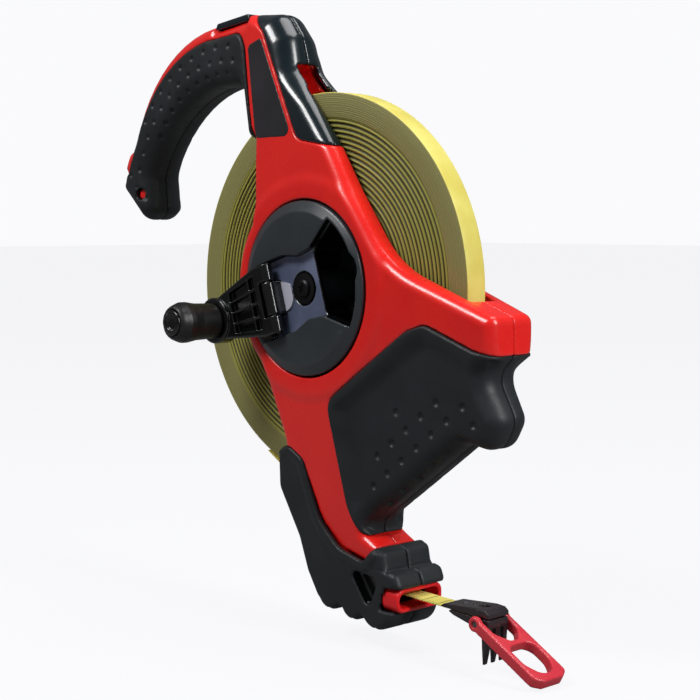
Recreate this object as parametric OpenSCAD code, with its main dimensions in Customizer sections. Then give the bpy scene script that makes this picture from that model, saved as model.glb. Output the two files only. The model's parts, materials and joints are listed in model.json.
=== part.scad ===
// Open-frame measuring tape on a crank reel.
// +X runs from the carry handle to the palm grip, +Z is up, the reel turns about Y.
// The crank side faces -Y. The origin is on the reel's axis, in the plane of the rear hub face
// that the tool lies on. The modules draw about the middle plane of the tape, and placed()
// moves each part from there.

/* [Tape] */
// Width of the measuring tape
tape_w = 13; // [12:0.25:13.5]
// Thickness of the tape strip
tape_t = 0.5; // [0.4:0.05:0.6]
// Outer radius of the full coil of tape
coil_r = 105.8; // [98:0.2:107]
// Radius inside which the edges of the turns stand in ridges
ridge_r = 88; // [80:0.5:94]
// Number of those ridges
ridge_count = 11; // [6:1:13]
// Length of tape between the mouth and the hook
lead_out = 30; // [28:1:40]

/* [Frame] */
// Half of the frame's thickness at the hub ring
hub_t = 22.5; // [22:0.25:23]
// How much thinner each side gets per mm away from the hub ring
taper = 0.065; // [0.05:0.005:0.07]
// Outer radius of the ring around the hub
ring_r = 58.5; // [57:0.5:60]
// Half of the thickness of the core inside the grips and covers
core_t = 12; // [11:0.25:12.5]
// Thickness of rubber or cover around the core's edge
skin = 3.5; // [3:0.25:3.75]
// Radius of the slot that the coil turns in
slot_r = 110; // [109:0.5:111]
// Half of that slot's width
slot_t = 9; // [8:0.25:9.5]
// Half of the thickness of the rubber bumper
bumper_t = 20; // [19.5:0.25:20.5]
// How far the palm grip stands above the frame
palm_proud = 1.5; // [0.5:0.25:2]

/* [Hub] */
// Radius of the drum that carries the coil
drum_r = 48; // [47.6:0.1:48.2]
// Radius of the front hub disc
disc_r = 47.4; // [47:0.1:47.6]
// Radius of the axle
axle_r = 6; // [5.5:0.1:6.2]
// Radial running clearance of every shaft in its hole
run_gap = 0.06; // [0.03:0.01:0.09]
// Angle of the crank below the horizontal
crank_angle = 17.3; // [0:0.1:45]

/* [Crank] */
// Distance from the reel's centre to the crank's hinge
hinge_x = 20.75; // [20.5:0.25:21]
// Distance from the reel's centre to the knob, with the crank out
knob_x = 67.25; // [67:0.25:67.5]
// Largest radius of the knob
knob_r = 11.4; // [11:0.1:11.6]
// Width of the crank arm at its hinge
arm_w = 39; // [37:0.5:39.5]

/* [Hook] */
// Length of the finger ring from its pivot
ring_len = 47; // [44:0.5:50]
// Width of the finger ring
ring_w = 24; // [23:0.5:26]
// Angle of the finger ring below the tape
ring_angle = 27; // [20:1:32]
// Length of the ground spikes
spike_len = 24; // [20:0.5:25]

/* [Hidden] */
$fn = 96;
eps = 0.01;

disc_face = 26.3;     // front face of the hub disc, measured from the middle plane
disc_rim = 23.3;      // where the disc's bevel meets its rim
disc_back = 19.5;     // back of the disc's plate
floor_y = 22;         // floor of the crank recess
drum_back = 12.5;     // rear face of the drum
rear_cavity = 15;     // depth of the hub cavity in the rear frame
hinge_y = 28.5;       // crank hinge, in front of the middle plane
arm_t = 7.6;          // thickness of the crank arm
knob_near = 34.4;     // the knob's inner end
knob_far = 64;        // the knob's outer end
stow_x = knob_x - 2 * hinge_x;   // the knob's place when the crank is folded in
pocket_r = knob_r + 1;           // room that the folded knob needs around its middle line
pocket_y = 8;                    // depth of its pocket behind the middle plane
recess_r = 43;                   // outer wall of the recess and the pocket
cup_wall = 1.2;                  // thickness of the pocket's walls
knob_round = [1.6, 2.8];         // how far the knob's end is rounded, across and along
// Radius that the knob's end sweeps around the hinge, with a little room.
sweep_r = 0.6 + norm([
    knob_x - hinge_x + knob_r - knob_round.x, knob_far - hinge_y - knob_round.y
]);
mouth = [62, -160];   // x and z of the tape's mouth
tape_drop = 2;        // angle of the pulled-out tape below the horizontal
lead_in = 36;         // length of the sliding tape inside the mouth
pivot = [lead_out + 24, -2.7];   // pivot of the finger ring, along and above the tape
pin_r = 1.5;          // radius of the small pins
ring_t = 6;           // thickness of the finger ring
arm_y = 8.5;          // inner face of the ring's arms, beside the jaws
run_r = coil_r + 0.7; // the run leaves the coil just clear of it
roller_up = [46.6, -146.2];
roller_low = [46, -163.2];
roller_r = [4, 3.2];
roller_gap = 0.6;     // space around the upper roller in its channel
hub_screw_r = 39;     // pitch radius of the screws that hold the hub disc
hub_screw_angles = [75, 180, 285];
screw_places = [[-31, 128], [120, -18.5], [15, -119], [36, -134.5], [-168, 59], [113, -60], [7, -148]];

room_x = sweep_r - hinge_x - pocket_r;   // middle of the knob's end, at its furthest out

// ---------------------------------------------------------------- outlines
// A corner is [x, z, radius]. outline() turns a list of corners into a smooth path.

function unit(v) = v / norm(v);
function xz(p) = [p.x, p.y];
function wrap(a) = let (s = (a % 360 + 360) % 360) s > 180 ? s - 360 : s;
function left_of(d) = [-d.y, d.x];

function round_corner(a, b, c, r, n = 5) =
    r <= 0 ? [b] :
    let (
        u = unit(a - b),
        v = unit(c - b),
        half = acos(u * v) / 2,
        centre = b + unit(u + v) * r / sin(half),
        p = b + u * r / tan(half) - centre,
        q = b + v * r / tan(half) - centre,
        start = atan2(p.y, p.x),
        sweep = wrap(atan2(q.y, q.x) - start)
    )
    [for (i = [0:n]) centre + r * [cos(start + sweep * i / n), sin(start + sweep * i / n)]];

function outline(pts) = let (n = len(pts)) [
    for (i = [0:n - 1])
        each round_corner(xz(pts[(i + n - 1) % n]), xz(pts[i]), xz(pts[(i + 1) % n]), pts[i].z)
];

// Moves every edge of a counter-clockwise outline inwards by d.
function inset(pts, d) = let (n = len(pts)) [
    for (i = [0:n - 1])
        let (
            into = left_of(unit(xz(pts[i]) - xz(pts[(i + n - 1) % n]))),
            away = left_of(unit(xz(pts[(i + 1) % n]) - xz(pts[i]))),
            p = xz(pts[i]) + (into + away) / (1 + into * away) * d
        )
        [p.x, p.y, max(0, pts[i].z - d / 2)]
];

function arc(centre, r, from, to, n) = [
    for (i = [0:n])
        let (a = from + (to - from) * i / n)
        [centre.x + r * cos(a), centre.y + r * sin(a), 0]
];

// The whole outline of the frame with its grips, handle first, counter-clockwise.
whole = concat(
    arc([-82.6, 55], 94, 90, 160, 12),
    [[-174.5, 80.5, 1], [-178, 79, 2], [-184.5, 68, 2], [-181.5, 66.5, 1]],
    [[-187, 56.5, 6], [-161, 35.5, 6], [-152, 42, 6], [-154, 64, 10]],
    arc([-72, 22.5], 92.4, 147, 100, 9),
    [[-62, 113.5, 5], [-54, 83, 1.5], [-47.5, 82, 1], [-45.5, 46, 12]],
    arc([0, 0], ring_r, 143, 228, 14),
    [[-35, -52, 10], [-20.5, -87.5, 1], [-27.5, -91, 3], [-26.5, -112, 8], [-10, -138, 15]],
    [[-3, -156, 6], [6, -170, 5], [60, -173.5, 5], [69, -154, 4], [66, -147, 4]],
    [[58.5, -145.5, 1], [57, -137, 3], [49, -134.5, 3], [40.5, -129, 1], [41, -123, 5]],
    [[107, -74.6, 9], [124.5, -78, 9], [133, -62, 9], [120.5, -40, 10], [131, -30, 3]],
    [[130.5, -10.5, 5], [62.4, 13.8, 60], [33, 53, 25], [17, 77, 25], [-20, 120, 12]],
    [[-25.5, 138, 12], [-36, 151.5, 9], [-58, 152.5, 8]]
);

// Where the dark top cover lies on the frame.
cover_area = [
    [-60.5, 170, 0], [-55.5, 152.5, 0], [-42, 141, 5], [-9, 80.5, 9], [20, 75.5, 0], [45, 72, 0],
    [60, 170, 0]
];

// Where the rubber of the carry handle lies. A red spine stays bare along the outer edge.
handle_area = concat(
    [[-46.5, 81, 0], [-50.8, 99, 0], [-57.5, 134, 10], [-62, 142.8, 8]],
    arc([-81.3, 49.3], 91.8, 91, 158, 10),
    [[-169, 79.5, 2], [-174, 66, 2], [-182, 63.5, 1], [-205, 60, 0], [-205, 20, 0], [-140, 20, 0], [-66, 76, 0]]
);

// Where the rubber of the palm grip lies.
palm_area = [
    [17.5, -60, 9], [76, -19.5, 12], [88, -15.5, 10], [119, -27, 0], [150, -34, 0],
    [150, -131.5, 0], [38.5, -131.5, 9], [30, -115, 20]
];

// Where the rubber bumper lies.
bumper_area = [
    [-50, -88, 0], [-15, -88.5, 5], [-5, -94, 8], [9, -126, 25], [24, -139, 15], [43, -143.5, 3],
    [51, -134.5, 1], [75, -120, 0], [100, -120, 0], [100, -200, 0], [-50, -200, 0]
];

label_area = [[-54.5, 134.5, 3], [-43, 138, 2], [-12.5, 82.3, 4], [-44, 82.3, 3]];

// Space that the folding crank needs in the hub disc, in the crank's own frame.
recess_area = [
    [-30, 21, 0], [-9, 21, 2], [3, 17.5, 12], [14, 18.5, 12], [33, 30, 0], [50, 30, 0],
    [50, -30, 0], [33, -30, 0], [14, -18.5, 12], [3, -17.5, 12], [-9, -21, 2], [-30, -21, 0]
];

// Where the pocket for the knob is sunk through the floor of that recess.
pocket_area = [
    [stow_x - pocket_r, -17.5, 4], [33, -29, 2], [50, -29, 0], [50, 29, 0], [33, 29, 2],
    [stow_x - pocket_r, 17.5, 4]
];

// The inlay strip on top of the handle, and its half width.
insert_area = [[-89, 146, 0], [-59, 149, 0], [-59, 153.2, 1], [-87, 150, 1]];
insert_half = 12;

// ---------------------------------------------------------------- helpers

// Extrudes an outline in X and Z from y0 to y1.
module slab(y0, y1) {
    rotate([90, 0, 0])
        translate([0, 0, -y1])
            linear_extrude(height = y1 - y0)
                children();
}

// Turns a profile of [radius, y] points about the Y axis.
module turned(profile) {
    rotate([-90, 0, 0])
        rotate_extrude()
            polygon(profile);
}

// A cylinder along Y at [x, z], from y0 to y1.
module rod(at, r, y0, y1) {
    translate([at.x, y0, at.y])
        rotate([-90, 0, 0])
            cylinder(r = r, h = y1 - y0);
}

// Half thickness of the frame at radius r.
function half_t(r) = hub_t - taper * max(0, r - ring_r);

// The space between the two conical faces of the frame, moved out by proud but never
// past the flat faces of the hub ring.
module dome(proud = 0) {
    far = 260;
    flat_t = hub_t + min(0, proud);
    flat_r = ring_r + max(0, proud) / taper;
    rim_t = half_t(far) + proud;
    turned([
        [0, -flat_t], [flat_r, -flat_t], [far, -rim_t], [far, rim_t], [flat_r, flat_t], [0, flat_t]
    ]);
}

// The frame of the hub disc and crank: its X points away from the crank.
module crank_frame() {
    rotate([0, -crank_angle, 0])
        children();
}

// The frame of the pulled-out tape: origin at the mouth, X along the tape.
module tape_frame() {
    translate([mouth.x, 0, mouth.y])
        rotate([0, tape_drop, 0])
            children();
}

// ---------------------------------------------------------------- frame halves
// Every half is drawn for the front (y < 0). The rear one is its mirror image.

module slots(hub_hole, hub_depth) {
    rod([0, 0], slot_r, -slot_t, slot_t);
    rod([0, 0], hub_hole, -hub_depth, eps);
    slab(-tape_w / 2 - 1, eps)
        polygon([[-42, -92], [-36, -104], [44, -157], [56, -150], [50, -143], [38, -143], [-12, -100]]);
    slab(-tape_w / 2 - 1, eps)
        polygon([[5, -162.5], [5, -154], [58, -156], [58, -167.5], [40, -167.5]]);
    slab(-7.2, eps)
        polygon([[-36, 98], [24, 98], [0, 122.5], [-36, 122.5]]);
    wiper_block(0.1);
    mouth_pocket();
    slab(-insert_half, eps)
        polygon(outline(insert_area));
    rod(roller_up, roller_r[0] + roller_gap, -tape_w / 2 - 1, eps);
    for (p = [roller_up, roller_low])
        rod(p, pin_r, -10, eps);
}

module mouth_pocket() {
    tape_frame()
        translate([-7, 0, -1.5])
            rotate([0, 90, 0])
                linear_extrude(height = 30)
                    lip_outline(0);
}

// The mouth's outline across the tape, shrunk by d.
module lip_outline(d) {
    polygon(outline(inset(
        [[-6.5, -17, 5], [6.5, -17, 5], [6.5, 17, 5], [-6.5, 17, 5]], d)));
}

module bare_frame() {
    intersection() {
        slab(-40, 0)
            difference() {
                polygon(outline(whole));
                for (area = [cover_area, handle_area, palm_area, bumper_area, label_area])
                    polygon(outline(area));
            }
        dome();
    }
}

module frame_solid() {
    bare_frame();
    intersection() {
        slab(-40, 0)
            polygon(outline(label_area));
        dome(-1);
    }
    slab(-core_t, 0)
        polygon(outline(inset(whole, skin)));
}

module half_frame(hub_hole, hub_depth) {
    difference() {
        frame_solid();
        slots(hub_hole, hub_depth);
    }
}

module front_frame() {
    color("firebrick")
        difference() {
            half_frame(disc_r + 0.9, 60);
            for (p = screw_places)
                rod(p, 1.65, -9, eps);
        }
}

module rear_frame() {
    color("firebrick")
        difference() {
            mirror([0, 1, 0])
                half_frame(drum_r + 1.5, rear_cavity);
            turned([
                [16, 26], [17, 21.4], [44, 21.4], [45, 26]
            ]);
            rod([0, 0], axle_r, 10, 30);
            rod([0, 0], 10.2, 19, 30);
            screw_holes();
        }
}

// Holes for the screws that close the frame from the rear.
module screw_holes() {
    for (p = screw_places) {
        rod(p, 1.8, -eps, 30);
        rod(p, 3.5, 9.5, 30);
    }
}

module frame_screws() {
    color("dimgray")
        for (p = screw_places)
            difference() {
                union() {
                    rod(p, 1.65, -8.5, 9.6);
                    rod(p, 3.1, 9.5, 11.7);
                }
                rod(p, 1.3, 10.3, 12);
            }
}

// ---------------------------------------------------------------- covers and grips

// A grip or cover for the front: the part of the whole outline over its area, less the core.
module over_core(area, proud, extra_t = 0) {
    difference() {
        intersection() {
            slab(extra_t > 0 ? -extra_t : -40, 0)
                intersection() {
                    polygon(outline(whole));
                    polygon(outline(area));
                }
            if (extra_t > 0)
                slab(-extra_t, 0)
                    square([500, 500], center = true);
            else
                dome(proud);
        }
        slab(-core_t, eps)
            polygon(outline(inset(whole, skin)));
        slots(disc_r + 0.9, 60);
    }
}

module half_top_cover() {
    color("darkslategray")
        over_core(cover_area, 0);
}

module half_handle_grip() {
    color("dimgray")
        over_core(handle_area, 0.4);
}

module half_palm_grip() {
    color("dimgray")
        over_core(palm_area, palm_proud);
}

module half_bumper() {
    lobes = [[15, -165, 9.5], [33, -168, 9], [51, -166.5, 12.5]];
    color("dimgray")
        difference() {
            union() {
                over_core(bumper_area, 0, bumper_t);
                difference() {
                    slab(-bumper_t, 0)
                        difference() {
                            for (c = lobes)
                                translate([c.x, c.y])
                                    circle(r = c.z);
                            polygon(outline(whole));
                        }
                    mouth_pocket();
                }
            }
            slab(-30, -core_t)
                polygon(outline([[31.5, -149, 2.5], [46.5, -169, 3], [53.5, -151.5, 2.5]]));
        }
}

module half_label_plate() {
    color("black")
        difference() {
            intersection() {
                slab(-40, 0)
                    polygon(outline(label_area));
                dome(0.2);
            }
            dome(-1);
        }
}

module front_top_cover() {
    half_top_cover();
}

module rear_top_cover() {
    difference() {
        mirror([0, 1, 0])
            half_top_cover();
        screw_holes();
    }
}

module front_handle_grip() {
    difference() {
        half_handle_grip();
        rod([-162, 53], 3.5, -30, -core_t);
    }
}

module rear_handle_grip() {
    difference() {
        mirror([0, 1, 0])
            half_handle_grip();
        screw_holes();
    }
}

module front_palm_grip() {
    half_palm_grip();
}

module rear_palm_grip() {
    difference() {
        mirror([0, 1, 0])
            half_palm_grip();
        screw_holes();
    }
}

module front_bumper() {
    half_bumper();
}

module rear_bumper() {
    difference() {
        mirror([0, 1, 0])
            half_bumper();
        screw_holes();
    }
}

module front_label_plate() {
    half_label_plate();
}

module rear_label_plate() {
    mirror([0, 1, 0])
        half_label_plate();
}

module top_insert() {
    color("darkslategray")
        slab(-insert_half, insert_half)
            polygon(outline(insert_area));
}

// ---------------------------------------------------------------- mouth and guides

module mouth_lip() {
    color("red")
        tape_frame()
            translate([-6.5, 0, -1.5])
                rotate([0, 90, 0])
                    difference() {
                        linear_extrude(height = 11.5)
                            lip_outline(0);
                        translate([0, 0, -1])
                            linear_extrude(height = 20)
                                lip_outline(2.4);
                    }
}

module wiper_block(gap = 0) {
    slab(-tape_w / 2 - 1 - gap, gap > 0 ? eps : tape_w / 2 + 1)
        polygon([[-35, -117.5 + gap], [-10, -117.5 + gap], [-10, -127 - gap], [-35, -127 - gap]]);
}

// A felt wiper under the tape's way in. Only its outer edge shows.
module tape_wiper() {
    color("seagreen")
        intersection() {
            wiper_block();
            slab(-20, 20)
                polygon([[-21.5, -114], [-13, -114], [-13, -130], [-15.5, -130]]);
        }
}

module guide_roller(at, r) {
    color("silver")
        translate([at.x, 0, at.y])
            difference() {
                turned([
                    [0, -7.2], [r, -7.2], [r, 7.2], [0, 7.2]
                ]);
                rod([0, 0], pin_r + run_gap, -20, 20);
            }
}

module upper_guide_roller() {
    guide_roller(roller_up, roller_r[0]);
}

module lower_guide_roller() {
    guide_roller(roller_low, roller_r[1]);
}

module roller_pins() {
    color("silver") {
        rod(roller_up, pin_r, -10, 10);
        rod(roller_low, pin_r, -10, 10);
    }
}

// ---------------------------------------------------------------- reel

module axle() {
    color("silver")
        difference() {
            union() {
                rod([0, 0], axle_r, -21, 19.5);
                rod([0, 0], 10, 19, 21.3);
            }
            rod([0, 0], 2, -21 - eps, -8);
            rod([0, 0], 3.2, 20.2, 22);
        }
}

module axle_bush() {
    color("goldenrod")
        turned([
            [axle_r + run_gap, -20.8], [8, -20.8], [8, drum_back], [9.5, drum_back],
            [9.5, rear_cavity - 0.1], [axle_r + run_gap, rear_cavity - 0.1]
        ]);
}

module axle_washer() {
    color("silver")
        turned([
            [2.1, -21], [8.4, -21], [8.4, -22.2], [2.1, -22.2]
        ]);
}

module axle_screw() {
    color("black")
        difference() {
            turned([
                [0, -9], [2, -9], [2, -22.2], [4.8, -22.2], [4.8, -23.1], [3.9, -23.9], [0, -23.9]
            ]);
            for (a = [0, 90])
                rotate([0, a + 20, 0])
                    translate([-2.6, -26, -0.5])
                        cube([5.2, 3, 1]);
        }
}

module reel_drum() {
    color("black")
        difference() {
            union() {
                turned([
                    [44.6, -11.5], [46.4, -11.5], [46.4, -8], [drum_r, -8], [drum_r, drum_back],
                    [8, drum_back], [8, -19.4], [10.4, -19.4], [10.4, drum_back - 3],
                    [44.6, drum_back - 3]
                ]);
                difference() {
                    for (a = [0:60:300])
                        rotate([0, a + 45, 0])
                            translate([9.5, 2, -1])
                                cube([36, drum_back - 4, 2]);
                    crank_frame()
                        knob_pocket(cup_wall + 0.4);
                    for (a = hub_screw_angles)
                        crank_frame()
                            rotate([0, -a, 0])
                                rod([hub_screw_r, 0], 3.6, -30, drum_back);
                }
            }
            for (a = hub_screw_angles)
                crank_frame()
                    rotate([0, -a, 0]) {
                        rod([hub_screw_r, 0], 1.5, 0, 30);
                        rod([hub_screw_r, 0], 2.9, drum_back - 1.5, 30);
                    }
        }
}

module front_hub_disc() {
    color("darkslategray")
        crank_frame()
            difference() {
                union() {
                    difference() {
                        turned([
                            [9, -disc_back], [disc_r, -disc_back], [disc_r, -disc_rim],
                            [disc_r - 6, -disc_face], [9, -disc_face]
                        ]);
                        slab(-40, -floor_y)
                            intersection() {
                                polygon(outline(recess_area));
                                circle(r = recess_r);
                            }
                        slab(-40, -hinge_y + arm_t / 2 + 0.5)
                            translate([-50, -arm_w / 2 - 1])
                                square([30, arm_w + 2]);
                    }
                    intersection() {
                        knob_pocket(cup_wall);
                        rod([0, 0], disc_r - 0.4, -disc_back - 1, 30);
                    }
                    for (a = hub_screw_angles)
                        rotate([0, -a, 0])
                            rod([hub_screw_r, 0], 3.5, -disc_back - 1, drum_back - 3);
                    hinge_lug();
                }
                knob_pocket();
                for (a = hub_screw_angles)
                    rotate([0, -a, 0])
                        rod([hub_screw_r, 0], 1.5, -6, 20);
                hinge_bore(pin_r);
            }
}

// The pocket for the folded knob, in the crank's frame, with every wall moved out by grow.
// The second solid is the room that the knob's end sweeps on its way in.
module knob_pocket(grow = 0) {
    bottom = pocket_y + grow;
    half = pocket_r + grow;
    intersection() {
        slab(-40, bottom)
            polygon(outline(inset(pocket_area, -grow)));
        rod([0, 0], recess_r + grow, -40, bottom);
    }
    intersection() {
        translate([-hinge_x, -hinge_y, -half])
            cylinder(r = sweep_r + grow, h = 2 * half);
        slab(-40, bottom)
            polygon(outline([
                [stow_x, -half, 0], [room_x + half, -half, half - eps],
                [room_x + half, half, half - eps], [stow_x, half, 0]
            ]));
    }
}

// The lug in the middle of the hinge, between the crank's knuckles.
module hinge_lug() {
    translate([-hinge_x, -hinge_y, -9.3])
        cylinder(r = 3.8, h = 18.6);
    translate([-hinge_x - 3.8, -hinge_y, -9.3])
        cube([7.6, hinge_y - disc_back, 18.6]);
}

module hinge_bore(r) {
    translate([-hinge_x, -hinge_y, -40])
        cylinder(r = r, h = 80);
}

module hub_disc_screws() {
    color("dimgray")
        crank_frame()
            for (a = hub_screw_angles)
                rotate([0, -a, 0]) {
                    rod([hub_screw_r, 0], 1.5, -5, drum_back - 1.4);
                    rod([hub_screw_r, 0], 2.7, drum_back - 1.5, drum_back - 0.1);
                }
}

module tape_coil() {
    step = (ridge_r - 55) / ridge_count;
    flat = tape_w / 2;
    side = [
        for (i = [0:ridge_count - 1]) each [
            [ridge_r - step * i - 0.5, flat - 1.1], [ridge_r - step * (i + 1), flat - 0.5]
        ]
    ];
    back = [for (i = [len(side) - 1:-1:0]) [side[i].x, -side[i].y]];
    color("darkkhaki")
        turned(concat(
            [[coil_r, -flat], [coil_r, flat], [ridge_r, flat]],
            side,
            [[drum_r, flat - 1], [drum_r, 1 - flat]],
            back,
            [[ridge_r, -flat]]
        ));
}

// ---------------------------------------------------------------- tape and hook

// The tape between the coil and the mouth: a straight run that leaves the coil at a tangent.
module tape_run() {
    reach = norm(mouth);
    tangent = atan2(mouth.y, mouth.x) - acos(run_r / reach);
    length = sqrt(reach * reach - run_r * run_r);
    color("khaki")
        rotate([0, -tangent, 0])
            translate([run_r, -tape_w / 2, 6])
                cube([tape_t, tape_w, length - 26]);
}

module tape_lead() {
    color("khaki")
        tape_frame()
            difference() {
                translate([-lead_in, -tape_w / 2, -tape_t / 2])
                    cube([lead_in + lead_out + 22, tape_w, tape_t]);
                rivet_places()
                    cylinder(r = 1.5, h = 20, center = true);
            }
}

module rivet_places() {
    for (x = [8, 15])
        translate([lead_out + x, 0, 0])
            children();
}

module hook_upper_jaw() {
    color("black")
        tape_frame()
            difference() {
                translate([lead_out - 4, 0, 0])
                    slab(-8, 8)
                        polygon([
                            [0, tape_t / 2], [34, tape_t / 2], [34, 2.6], [31.5, 4.4], [26, 4.6], [3, 2]
                        ]);
                rivet_places()
                    cylinder(r = 1.5, h = 20, center = true);
                translate([lead_out + 18.5, -2.5, 2.6])
                    cube([5, 5, 5]);
            }
}

module hook_lower_jaw() {
    color("black")
        tape_frame()
            difference() {
                translate([lead_out - 4, 0, 0])
                    slab(-8, 8)
                        polygon([
                            [5, -tape_t / 2], [10, -2.4], [23, -5], [29, -5], [29, -tape_t / 2]
                        ]);
                rivet_places()
                    cylinder(r = 1.5, h = 20, center = true);
                rod(pivot, pin_r, -20, 20);
            }
}

module hook_rivets() {
    color("silver")
        tape_frame()
            rivet_places()
                translate([0, 0, -4])
                    cylinder(r = 1.5, h = 7.2);
}

// Three tines in a row across the end of the hook.
module ground_spikes() {
    root = lead_out + 25;
    color("black")
        tape_frame()
            difference() {
                union() {
                    translate([root, -7.6, -5])
                        cube([5, 15.2, 5 - tape_t / 2]);
                    for (y = [-6, 0, 6])
                        slab(y - 1.6, y + 1.6)
                            polygon([
                                [root, -4.9], [root + 5, -4.9], [root + 4.6, -0.6 * spike_len],
                                [root + 2.6, -spike_len], [root + 1.8, -spike_len],
                                [root + 0.8, -0.6 * spike_len]
                            ]);
                }
                rod(pivot, pin_r, -20, 20);
            }
}

module ring_pivot_pins() {
    color("silver")
        tape_frame() {
            rod(pivot, pin_r, -11, -4);
            rod(pivot, pin_r, 4, 11);
        }
}

// The ring seen from above, with its two arms towards the pivot.
module ring_plan() {
    difference() {
        polygon(outline([
            [-3.6, -ring_w / 2, 2], [ring_len - 3, -ring_w / 2, 3],
            [ring_len, -ring_w / 2 + 5, 2], [ring_len, ring_w / 2 - 5, 2],
            [ring_len - 3, ring_w / 2, 3], [-3.6, ring_w / 2, 2]
        ]));
        polygon(outline([
            [-10, -arm_y, 0], [11, -arm_y, 3], [17.5, -3, 3], [17.5, 3, 3], [11, arm_y, 3],
            [-10, arm_y, 0]
        ]));
        polygon(outline([
            [21, -5.5, 3], [24, -9, 5], [34, -9, 9], [42, -4, 6], [42, 4, 6], [34, 9, 9],
            [24, 9, 5], [21, 5.5, 3]
        ]));
    }
}

module finger_ring() {
    color("crimson")
        tape_frame()
            translate([pivot.x, 0, pivot.y])
                rotate([0, ring_angle, 0])
                    difference() {
                        union() {
                            translate([0, 0, -ring_t / 2])
                                linear_extrude(height = ring_t)
                                    ring_plan();
                            rod([0, 0], 3.9, -ring_w / 2, -arm_y);
                            rod([0, 0], 3.9, arm_y, ring_w / 2);
                        }
                        rod([0, 0], pin_r + run_gap, -20, 20);
                    }
}

// ---------------------------------------------------------------- crank

function arm_half(x) = arm_w / 2 - (x - 26) * (arm_w / 2 - 13) / 32;

module crank_arm() {
    face = hinge_y + arm_t / 2;
    back = hinge_y - arm_t / 2;
    color("black")
        crank_frame()
            difference() {
                union() {
                    slab(-face, -back)
                        polygon(outline([
                            [-hinge_x - 4.5, arm_w / 2, 1], [-27, arm_w / 2, 3], [-58, 13, 8],
                            [-66, 11, 0], [-66, -11, 0], [-58, -13, 8], [-27, -arm_w / 2, 3],
                            [-hinge_x - 4.5, -arm_w / 2, 1]
                        ]));
                    rod([-knob_x, 0], 13, -knob_near + 0.3, -back);
                    for (s = [-1, 1])
                        translate([-hinge_x, -hinge_y, s * (arm_w / 4 + 4.85)]) {
                            cylinder(r = arm_t / 2, h = arm_w / 2 - 9.7, center = true);
                            translate([-3.2, 0, 0])
                                cube([6.4, arm_t, arm_w / 2 - 9.7], center = true);
                        }
                }
                arm_grooves(face);
                rod([-knob_x, 0], 3, -60, 0);
                hinge_bore(pin_r + run_gap);
            }
}

// Four lanes between five ribs, each crossed by one rib.
module arm_grooves(face) {
    lanes = 4;
    for (span = [[29, 33.5], [35, 52]])
        for (i = [0:lanes - 1]) {
            a = -0.84 + 1.68 * i / lanes + 0.05;
            b = -0.84 + 1.68 * (i + 1) / lanes - 0.05;
            slab(-face - 1, -face + 3.2)
                polygon([
                    [-span[0], a * arm_half(span[0])], [-span[0], b * arm_half(span[0])],
                    [-span[1], b * arm_half(span[1])], [-span[1], a * arm_half(span[1])]
                ]);
        }
}

module crank_hinge_pin() {
    color("silver")
        crank_frame()
            translate([-hinge_x, -hinge_y, -arm_w / 2 + 0.6])
                cylinder(r = pin_r, h = arm_w - 1.2);
}

// A half disc of bright spring steel that holds the crank open or shut.
module crank_detent_leaf() {
    color("silver")
        crank_frame()
            slab(-floor_y - 0.9, -floor_y)
                difference() {
                    translate([-16.8, 0])
                        circle(r = 8);
                    translate([-36.8, -20])
                        square([20, 40]);
                    circle(r = 9.2);
                }
}

module knob_spindle() {
    color("silver")
        crank_frame()
            translate([-knob_x, 0, 0])
                turned([
                    [0, -hinge_y + arm_t / 2], [3, -hinge_y + arm_t / 2], [3, 5 - knob_far],
                    [5.4, 5 - knob_far], [5.4, 3.2 - knob_far], [0, 3.2 - knob_far]
                ]);
}

module knob() {
    color("black")
        crank_frame()
            translate([-knob_x, 0, 0])
                turned([
                    [3 + run_gap, -knob_near], [knob_r - 2, -knob_near],
                    [knob_r - 1.4, -knob_near - 1.6], [knob_r - 1, 16 - knob_far],
                    [knob_r, 10 - knob_far], [knob_r, 7 - knob_far],
                    [knob_r - knob_round.x, knob_round.y - knob_far],
                    [knob_r - 3.4, -knob_far], [7.2, -knob_far], [7.2, 2.8 - knob_far],
                    [5.8, 2.8 - knob_far], [5.8, 5.1 - knob_far], [3 + run_gap, 5.1 - knob_far]
                ]);
}

module knob_cap() {
    color("black")
        crank_frame()
            translate([-knob_x, 0, 0])
                turned([
                    [0, 2.8 - knob_far], [7.2, 2.8 - knob_far], [7.2, 0.4 - knob_far],
                    [4.5, 0.1 - knob_far], [3.6, 1.4 - knob_far], [0, 1.4 - knob_far]
                ]);
}

// ---------------------------------------------------------------- drawing

// Moves a part so that the rear hub face lies in the plane y = 0.
module placed() {
    translate([0, -hub_t, 0])
        children();
}

placed() front_frame();
placed() rear_frame();
placed() front_top_cover();
placed() rear_top_cover();
placed() top_insert();
placed() front_handle_grip();
placed() rear_handle_grip();
placed() front_label_plate();
placed() rear_label_plate();
placed() front_palm_grip();
placed() rear_palm_grip();
placed() front_bumper();
placed() rear_bumper();
placed() mouth_lip();
placed() tape_wiper();
placed() upper_guide_roller();
placed() lower_guide_roller();
placed() roller_pins();
placed() frame_screws();
placed() axle();
placed() axle_bush();
placed() axle_washer();
placed() axle_screw();
placed() reel_drum();
placed() front_hub_disc();
placed() hub_disc_screws();
placed() tape_coil();
placed() tape_run();
placed() tape_lead();
placed() crank_arm();
placed() crank_hinge_pin();
placed() crank_detent_leaf();
placed() knob_spindle();
placed() knob();
placed() knob_cap();
placed() hook_upper_jaw();
placed() hook_lower_jaw();
placed() hook_rivets();
placed() ground_spikes();
placed() ring_pivot_pins();
placed() finger_ring();
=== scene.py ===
"""Looks of an open-frame measuring tape on a crank reel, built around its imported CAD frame.

Each moulded part is made again as a level set: the CAD solids, cut by a rounded skin that all
parts of the frame share, then rounded along its seams. The moulding code works in millimetres
about the middle plane of the tape; Blender's meshes are in metres.
"""
import json
import math
import bpy
import numpy as np
import openvdb
from mathutils import Matrix, Vector, kdtree

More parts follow.
